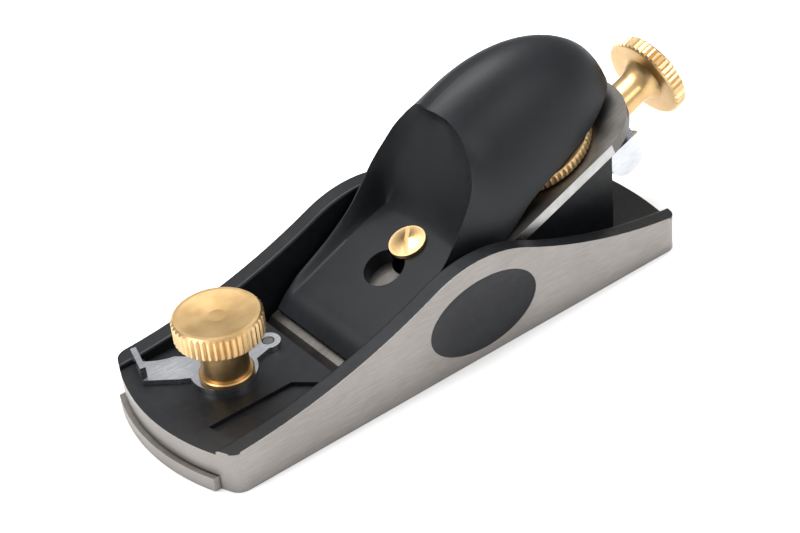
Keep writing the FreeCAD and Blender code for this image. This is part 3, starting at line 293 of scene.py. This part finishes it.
def brass_like(name, centre, axis, tip_radius):
    """Turned brass whose rings run round the axis through centre."""
    material, shader, place, across = finish(name)
    away = place.node("ShaderNodeVectorMath", {"operation": "SUBTRACT"}, {0: place, 1: centre})
    along = place.node(
        "ShaderNodeVectorMath", {"operation": "DOT_PRODUCT"}, {0: away, 1: axis}, out="Value"
    )
    length = place.node("ShaderNodeVectorMath", {"operation": "LENGTH"}, {0: away}, out="Value")
    radius = (length * length - along * along).math("MAXIMUM", 0.0).math("SQRT")
    rings = place.node(
        "ShaderNodeTexNoise",
        {"noise_dimensions": "1D"},
        {"W": radius + along * 0.9, "Scale": 5200.0, "Detail": 3.0, "Roughness": 0.6},
    )
    stain = grain(place, 150.0, 4.0)
    # Painted shade: the colour is lighter over the outermost 0.8 mm of radius, so the knurl's flutes
    # are painted darker than the tips.
    painted_flute_shade = radius.ramp(tip_radius - 0.0008, tip_radius)
    tone = (stain * 0.62 + rings * 0.13 + painted_flute_shade * 0.25).ramp(0.26, 0.74)
    feed(
        shader,
        Base_Color=tone.mix(BRASS_DEEP, BRASS_PALE),
        Metallic=1.0,
        Roughness=rings * 0.10 + stain * 0.10 + 0.24,
        Normal=relief(rings, 0.00003, 0.2),
    )
    return material


nodes["toe_knob"].material_slots[0].material = brass_like(
    "knob_brass", TOE_KNOB_MIDDLE, (0.0, 0.0, 1.0), TOE_KNOB_RADIUS
)


def steel_like(name, dark, light, low_rough, high_rough, scale):
    """Machined or plated steel with fine brushing and faint stains."""
    material, shader, place, across = finish(name)
    brushing = grain(stretched(place, 1.0, 9.0, 9.0), scale, 3.0)
    stain = grain(place, 140.0, 4.0)
    feed(
        shader,
        Base_Color=(brushing * 0.4 + stain * 0.6).ramp(0.35, 0.65).mix(dark, light),
        Metallic=1.0,
        Roughness=(brushing * 0.5 + stain * 0.5).ramp(0.3, 0.7) * (high_rough - low_rough) + low_rough,
        Normal=relief(brushing, 0.00003, 0.3),
    )
    return material


machined = steel_like("bright_steel", (0.42, 0.42, 0.43, 1), (0.62, 0.62, 0.63, 1), 0.22, 0.38, 500.0)
nodes["toe_post"].material_slots[0].material = machined

# ---------------------------------------------------------------- eccentric lever and its pin
# A steel blank stamped with its cam slot and finger tab, then plated bright. It turns on a
# blackened steel pin that is riveted flush in the toe deck.

plated = steel_like("plated_steel", (0.44, 0.455, 0.48, 1), (0.60, 0.615, 0.64, 1), 0.16, 0.30, 240.0)
nodes["eccentric_lever"].material_slots[0].material = plated
blackened = steel_like("dark_steel", (0.07, 0.07, 0.07, 1), (0.16, 0.155, 0.15, 1), 0.35, 0.5, 400.0)
nodes["eccentric_pivot_pin"].material_slots[0].material = blackened

# ---------------------------------------------------------------- lateral lever and its fittings
# A plated stamping that lies in the bed's groove, with a bent ear and a thumb tab; its pivot
# screw, the ear's bush and the washer are bright turned steel.

nodes["lateral_lever"].material_slots[0].material = plated
for name in ("lateral_pivot_screw", "ear_bush", "thrust_washer"):
    nodes[name].material_slots[0].material = machined

# ---------------------------------------------------------------- depth screw
# Threaded steel rod with a knurled brass knob pinned on its end. A spring clip holds it before
# the lever's ear, and its thread moves a steel slider whose tongue lies in a groove of the blade.

BED_ALONG = (0.936672, 0.0, 0.350207)
ROD_START = (-0.032953, 0.0, -0.008149)
DEPTH_KNOB_RADIUS = 0.0126

nodes["depth_rod"].material_slots[0].material = machined
nodes["rod_clip"].material_slots[0].material = blackened
nodes["depth_knob"].material_slots[0].material = brass_like(
    "depth_brass", ROD_START, BED_ALONG, DEPTH_KNOB_RADIUS
)
nodes["depth_slider"].material_slots[0].material = blackened
nodes["slider_tongue"].material_slots[0].material = machined

# ---------------------------------------------------------------- blade
# Heat-treated steel left with its brown-grey scale on the flat, ground bright along both long edges
# and at the cutting end; the material makes only the two long edges bright.

FLAT_DARK, FLAT_LIGHT = (0.085, 0.079, 0.073, 1), (0.155, 0.146, 0.136, 1)
EDGE_DARK, EDGE_LIGHT = (0.31, 0.308, 0.30, 1), (0.43, 0.425, 0.42, 1)
EDGE_START = 0.02056

iron, shader, place, (x, y, z) = finish("blade_steel")
scale_mottle = grain(place, 70.0, 5.0)
scale_lines = grain(stretched(place, 1.0, 14.0, 1.0), 190.0, 3.0)
ground_edge = y.math("ABSOLUTE").ramp(EDGE_START, EDGE_START + 0.00004)
flat = (scale_mottle * 0.6 + scale_lines * 0.4).ramp(0.35, 0.65).mix(FLAT_DARK, FLAT_LIGHT)
edge = scale_lines.ramp(0.3, 0.7).mix(EDGE_DARK, EDGE_LIGHT)
feed(
    shader,
    Base_Color=ground_edge.mix(flat, edge),
    Metallic=1.0,
    Roughness=ground_edge * -0.10 + (scale_mottle * 0.2 + 0.30),
    Normal=relief(scale_lines, 0.00005, 0.3),
)
nodes["blade"].material_slots[0].material = iron

# ---------------------------------------------------------------- lever cap
# Cast cap that wedges the blade down: low ribs that sweep up into the arch of a hollow hood, a
# table with the keyhole and a scoop under the arch. It is sprayed all over with satin black enamel.


# The cap's sizes are in millimetres along, across and above the bed.
BED_UP = (-0.350207, 0.0, 0.936672)
BED_START = -36.0


def smooth_path(points, share):
    """A point at share 0 to 1 along a smooth path through the points."""
    spot = share * (len(points) - 1)
    first = min(int(spot), len(points) - 2)
    part = spot - first
    before, start, end, after = (
        Vector(points[min(max(first + step, 0), len(points) - 1)]) for step in (-1, 0, 1, 2)
    )
    rise_start = (end - before) * 0.5
    rise_end = (after - start) * 0.5
    square, cube = part * part, part * part * part
    return (
        start * (2 * cube - 3 * square + 1)
        + rise_start * (cube - 2 * square + part)
        + end * (3 * square - 2 * cube)
        + rise_end * (cube - square)
    )


def on_bed(along, aside, above):
    """A place given along the bed from the mouth, across it and above it, in millimetres."""
    return (
        Vector((BED_START, aside, 0.0)) + Vector(BED_ALONG) * along + Vector(BED_UP) * above
    ) * 0.001


DOME_PLACE, DOME_LEVEL = 74.8, 6.5
DOME_AHEAD, DOME_BEHIND, DOME_WIDE, DOME_HIGH = 50.0, 42.0, 17.9, 33.3


def to_dome(point):
    """The point in a space where the hood's dome is a ball of radius 1."""
    reach = DOME_AHEAD if point[0] < DOME_PLACE else DOME_BEHIND
    return Vector(
        ((point[0] - DOME_PLACE) / reach, point[1] / DOME_WIDE, (point[2] - DOME_LEVEL) / DOME_HIGH)
    )


def from_dome(ball):
    reach = DOME_AHEAD if ball[0] < 0 else DOME_BEHIND
    return (DOME_PLACE + ball[0] * reach, ball[1] * DOME_WIDE, DOME_LEVEL + ball[2] * DOME_HIGH)


# Lower rim from the nose to the tail, crest of rib and arch, and the middle line of the table
# and the scoop, each as (along, aside, above).
RIM = [
    (9.0, 19.4, 3.25), (12.6, 19.8, 3.25), (16.0, 20.0, 3.25), (19.5, 20.1, 3.25), (30.0, 20.2, 3.25),
    (40.0, 20.1, 3.25), (47.0, 19.9, 3.25), (53.0, 19.5, 3.25), (59.0, 18.9, 3.3), (65.0, 18.3, 4.0),
    (72.0, 17.9, 6.2), (80.0, 17.7, 7.2), (90.0, 16.6, 7.3), (100.0, 14.3, 7.3), (108.5, 10.6, 7.4),
    (114.0, 6.2, 7.5), (116.7, 0.0, 7.6),
]
CREST = [
    (9.0, 19.3, 4.95), (12.6, 19.6, 6.5), (16.0, 19.8, 7.6), (19.5, 19.9, 8.6), (30.0, 20.0, 10.3),
    (40.0, 20.0, 13.2), (47.0, 19.9, 17.0), (53.0, 19.4, 21.0), (58.3, 18.1, 24.6), (61.8, 15.9, 28.2),
    (64.2, 13.2, 31.2), (65.7, 10.3, 34.0), (66.3, 7.2, 36.6), (66.1, 4.4, 38.2), (65.7, 2.0, 39.0),
    (65.5, 0.8, 39.15), (65.4, 0.0, 39.2),
]
MIDDLE = [
    (9.0, 0.0, 4.95), (12.6, 0.0, 6.5), (16.0, 0.0, 6.9), (19.5, 0.0, 7.2), (30.0, 0.0, 7.8),
    (39.5, 0.0, 8.2), (45.5, 0.0, 8.2), (50.5, 0.0, 8.5), (55.0, 0.0, 11.4), (59.6, 0.0, 16.6),
    (63.0, 0.0, 21.8), (65.4, 0.0, 26.8), (66.9, 0.0, 31.2), (67.3, 0.0, 33.6), (66.9, 0.0, 36.2),
    (66.1, 0.0, 38.2), (65.4, 0.0, 39.2),
]
# Share of the crest's half width, and share of the drop to the middle, down the inner wall.
TABLE_WALL = [
    (1.0, 0.0), (0.985, 0.02), (0.955, 0.22), (0.915, 0.6), (0.885, 0.92), (0.868, 1.0), (0.84, 1.0),
]
SCOOP_WALL = [
    (1.0, 0.0), (0.975, 0.10), (0.94, 0.22), (0.89, 0.36), (0.83, 0.48), (0.77, 0.57), (0.71, 0.63),
]
ROWS, FLANK_STEPS, FLOOR_STEPS = 120, 22, 12

cap_shape = bmesh.new()
rows = []
for row in range(ROWS + 1):
    share = row / ROWS
    rim, crest, middle = (smooth_path(path, share) for path in (RIM, CREST, MIDDLE))
    low, high = to_dome(rim), to_dome(crest)
    turn_by = low.angle(high)
    hold = min(max((share * (len(RIM) - 1) - 10.0) / 2.0, 0.0), 1.0)
    flank = []
    for step in range(FLANK_STEPS + 1):
        part = step / FLANK_STEPS
        from_low = low.normalized() * math.sin((1 - part) * turn_by)
        from_high = high.normalized() * math.sin(part * turn_by)
        ball = (from_low + from_high) / math.sin(turn_by)
        reach = low.length * (1 - part) + high.length * part
        flank.append(from_dome(ball * (reach + (1.0 - reach) * hold * math.sin(math.pi * part))))
    scooped = min(max((share * (len(RIM) - 1) - 6.5) / 1.9, 0.0), 1.0)
    scooped = scooped * scooped * (3 - 2 * scooped)
    floor = []
    last_table, last_scoop = TABLE_WALL[-1], SCOOP_WALL[-1]
    for step in range(1, len(TABLE_WALL) + FLOOR_STEPS - 1):
        if step < len(TABLE_WALL):
            on_table, on_scoop = TABLE_WALL[step], SCOOP_WALL[step]
        else:
            left = 1 - (step - len(TABLE_WALL) + 1) / FLOOR_STEPS
            on_table = (last_table[0] * left, 1.0)
            on_scoop = (last_scoop[0] * left, 1 - (1 - last_scoop[1]) * left * left)
        wide, deep = (a + (b - a) * scooped for a, b in zip(on_table, on_scoop))
        floor.append(
            (
                crest[0] + (middle[0] - crest[0]) * deep,
                crest[1] * wide,
                crest[2] + (middle[2] - crest[2]) * deep,
            )
        )
    half = flank + floor
    across_top = [(a, -b, c) for a, b, c in half] + [tuple(middle)] + list(reversed(half))
    under = [(rim[0], rim[1] * (1 - step / FLOOR_STEPS), rim[2]) for step in range(1, 2 * FLOOR_STEPS)]
    rows.append([cap_shape.verts.new(on_bed(*place)) for place in across_top + under])
for first, second in zip(rows, rows[1:]):
    for spot in range(len(first)):
        after = (spot + 1) % len(first)
        cap_shape.faces.new((first[spot], first[after], second[after], second[spot]))
cap_shape.faces.new(list(reversed(rows[0])))
bmesh.ops.remove_doubles(cap_shape, verts=cap_shape.verts, dist=0.00002)
bmesh.ops.dissolve_degenerate(cap_shape, edges=cap_shape.edges, dist=0.00001)
bmesh.ops.recalc_face_normals(cap_shape, faces=cap_shape.faces)
cap_mesh = bpy.data.meshes.new("lever_cap_skin")
cap_shape.to_mesh(cap_mesh)
cap_shape.free()
cap = bpy.data.objects.new("lever_cap_skin", cap_mesh)
bpy.context.scene.collection.objects.link(cap)


def cutter(name, shape):
    """An object that is taken away from the cap."""
    mesh = bpy.data.meshes.new(name)
    bmesh.ops.recalc_face_normals(shape, faces=shape.faces)
    shape.to_mesh(mesh)
    shape.free()
    tool = bpy.data.objects.new(name, mesh)
    bpy.context.scene.collection.objects.link(tool)
    return tool


HOLLOW_PLACE, HOLLOW_LEVEL = 94.45, 6.5
HOLLOW_LONG, HOLLOW_WIDE, HOLLOW_HIGH = 18.95, 13.3, 26.0
KEY_HEAD, KEY_HEAD_RADIUS, KEY_HEAD_ANGLE = 34.2, 5.9, 37.6
KEY_END, KEY_END_RADIUS = 43.4, 3.6
KEY_LOW, KEY_HIGH = -2.0, 20.0
STUD_PLACE, BOSS_MIDDLE = 87.0, 22.5
BOSS_RADIUS, BOSS_HEIGHT = 0.0056, 0.020

hollow = bmesh.new()
bmesh.ops.create_uvsphere(hollow, u_segments=64, v_segments=40, radius=1.0)
for vert in hollow.verts:
    vert.co = on_bed(
        HOLLOW_PLACE + vert.co.x * HOLLOW_LONG,
        vert.co.y * HOLLOW_WIDE,
        HOLLOW_LEVEL + vert.co.z * HOLLOW_HIGH,
    )
key = bmesh.new()
outline = []
for centre, radius, start, sweep, steps in (
    (KEY_HEAD, KEY_HEAD_RADIUS, KEY_HEAD_ANGLE, 360 - 2 * KEY_HEAD_ANGLE, 40),
    (KEY_END, KEY_END_RADIUS, -90, 180, 20),
):
    for step in range(steps + 1):
        angle = math.radians(start + step * sweep / steps)
        outline.append((centre + radius * math.cos(angle), radius * math.sin(angle)))
bottom = [key.verts.new(on_bed(along, aside, KEY_LOW)) for along, aside in outline]
upper = [key.verts.new(on_bed(along, aside, KEY_HIGH)) for along, aside in outline]
key.faces.new(list(reversed(bottom)))
key.faces.new(upper)
for spot in range(len(outline)):
    after = (spot + 1) % len(outline)
    key.faces.new((bottom[spot], bottom[after], upper[after], upper[spot]))
tools = [cutter("cap_hollow", hollow), cutter("cap_key", key)]
for tool in tools:
    cut = cap.modifiers.new(tool.name, "BOOLEAN")
    cut.operation = "DIFFERENCE"
    cut.solver = "EXACT"
    cut.object = tool
bpy.context.view_layer.update()
shaped = bpy.data.meshes.new_from_object(cap.evaluated_get(bpy.context.evaluated_depsgraph_get()))
cap.modifiers.clear()
cap.data = shaped
for tool in tools:
    bpy.data.objects.remove(tool)
cap_shape = bmesh.new()
cap_shape.from_mesh(shaped)
boss = bmesh.ops.create_cone(
    cap_shape, cap_ends=True, segments=48, radius1=BOSS_RADIUS, radius2=BOSS_RADIUS, depth=BOSS_HEIGHT
)
lean = Vector((0, 0, 1)).rotation_difference(Vector(BED_UP)).to_matrix()
for vert in boss["verts"]:
    vert.co = lean @ vert.co + on_bed(STUD_PLACE, 0.0, BOSS_MIDDLE)
for face in cap_shape.faces:
    face.smooth = True
cap_shape.to_mesh(shaped)
cap_shape.free()
shaped.set_sharp_from_angle(angle=math.radians(38))

# The enamel has a faint orange-peel skin.
SKIN_DARK, SKIN_LIGHT = (0.0050, 0.0060, 0.0075, 1), (0.0090, 0.0105, 0.0130, 1)

skin, shader, place, across = finish("black_enamel")
peel = grain(place, 520.0, 2.0)
wave = grain(place, 60.0, 3.0)
feed(
    shader,
    Base_Color=(wave * 0.7 + peel * 0.3).ramp(0.35, 0.7).mix(SKIN_DARK, SKIN_LIGHT),
    Roughness=wave * 0.14 + peel * 0.08 + 0.34,
    IOR=1.33,
    Normal=relief(peel * 0.5 + wave * 0.5, 0.00010, 0.2),
)
shaped.materials.clear()
shaped.materials.append(skin)
nodes["lever_cap"].material_slots[0].material = skin
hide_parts("lever_cap")
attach(cap, "lever_cap")

# ---------------------------------------------------------------- cap screw and cap wheel
# Slotted brass screw that holds the cap by its keyhole, and the knurled brass wheel that turns on
# a steel stud under the hood and wedges the cap tight. All three are turned from bar.

SCREW_MIDDLE, SCREW_RADIUS = (0.004652, 0.0, 0.015199), 0.0052
WHEEL_MIDDLE, WHEEL_RADIUS = (0.045490, 0.0, 0.030468), 0.0183

nodes["lever_cap_screw"].material_slots[0].material = brass_like(
    "screw_brass", SCREW_MIDDLE, BED_UP, SCREW_RADIUS
)
nodes["cap_wheel"].material_slots[0].material = brass_like(
    "wheel_brass", WHEEL_MIDDLE, BED_UP, WHEEL_RADIUS
)
nodes["cap_wheel_stud"].material_slots[0].material = machined
